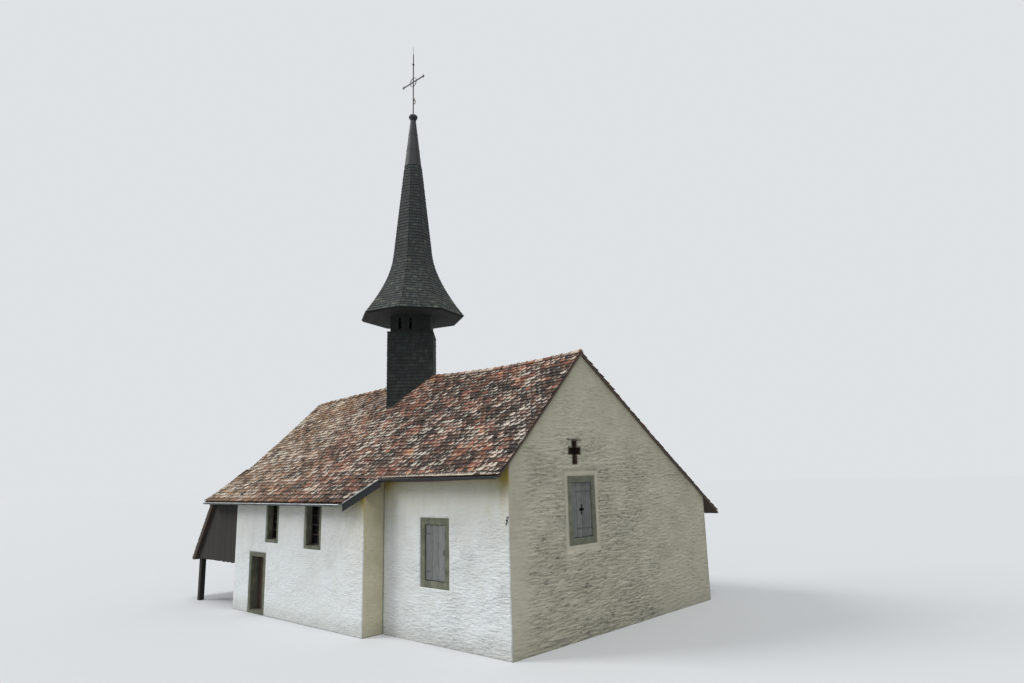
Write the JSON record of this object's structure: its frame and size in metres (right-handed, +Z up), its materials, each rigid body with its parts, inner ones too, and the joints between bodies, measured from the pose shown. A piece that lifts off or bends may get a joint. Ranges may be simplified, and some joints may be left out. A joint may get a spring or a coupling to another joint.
{
  "type": "small chapel with a ridge turret",
  "caption": "Small limewashed chapel with an off-centre tiled gable roof, a stepped-back choir, a boarded porch, and a ridge turret under a flared octagonal spire.",
  "frame": {"origin": "middle of the building's box, on the ground", "axes": "+X along the ridge toward the choir gable, +Y from the side door's wall to the far side, +Z up"},
  "size_m": [16.192, 12.498, 21.5913],
  "materials": {
    "limewash": "limewashed rubble, matt",
    "limewash_gable": "thin weathered limewash over coursed rubble, matt",
    "sandstone": "dressed sandstone, matt",
    "floor_stone": "worn flagstone, matt",
    "shutter_paint": "weathered grey paint on planks, matt",
    "window_glass": "old window glass, clear",
    "door_oak": "weathered reddish brown planks, matt",
    "wrought_iron": "forged iron, dull black",
    "clay_tile": "unglazed clay tile with lichen, matt",
    "dark_sheet": "dark weathered sheet metal, satin",
    "zinc": "weathered zinc, satin",
    "weathered_boards": "weathered brown boards, matt",
    "shingle": "weathered dark shingles, matt"
  },
  "bodies": {
    "chapel": {"nave_door_pier": "limewash", "nave_over_door": "limewash", "nave_south_wall": "limewash", "nave_return_wall": "limewash_gable", "nave_west_wall": "limewash", "nave_north_wall": "limewash", "choir_south_wall": "limewash", "choir_gable_wall": "limewash_gable", "choir_north_wall": "limewash", "stone_floor": "floor_stone", "side_door_surround": "sandstone", "west_door_surround": "sandstone", "nave_window_surrounds": "sandstone", "choir_window_surrounds": "sandstone", "gable_window_surround": "sandstone", "choir_shutters": "shutter_paint", "gable_shutter": "shutter_paint", "nave_sashes": "door_oak", "nave_glass": "window_glass", "cross_lining": "door_oak", "side_door_pintles": "wrought_iron", "west_door": "door_oak", "nave_roof_south": "clay_tile", "choir_roof_south": "clay_tile", "nave_roof_north": "clay_tile", "choir_roof_north": "clay_tile", "west_hip": "clay_tile", "porch_roof": "clay_tile", "ridge_cap": "clay_tile", "corner_board": "dark_sheet", "nave_gutter": "zinc", "choir_gutter": "dark_sheet", "north_gutter": "zinc", "porch_south_boards": "weathered_boards", "porch_north_boards": "weathered_boards", "porch_frame": "weathered_boards", "belfry_frame": "weathered_boards", "turret_shaft": "shingle", "spire_soffit": "weathered_boards", "spire": "shingle", "spire_tip": "dark_sheet", "spire_cross": "wrought_iron"},
    "side_door_leaf": {"side_door": "door_oak", "side_door_straps": "wrought_iron"},
    "cock": {"weathercock": "wrought_iron"}
  },
  "joints": [
    {"name": "side_door_hinge", "type": "hinge", "parent": "chapel", "child": "side_door_leaf", "pos_m": [-3.65062, -5.39138, 0.1], "axis": [0, 0, 1], "range_deg": [0, 95]},
    {"name": "weathercock_turn", "type": "hinge", "parent": "chapel", "child": "cock", "pos_m": [0.316, -1.79, 20.9], "axis": [0, 0, 1], "continuous": true}
  ]
}
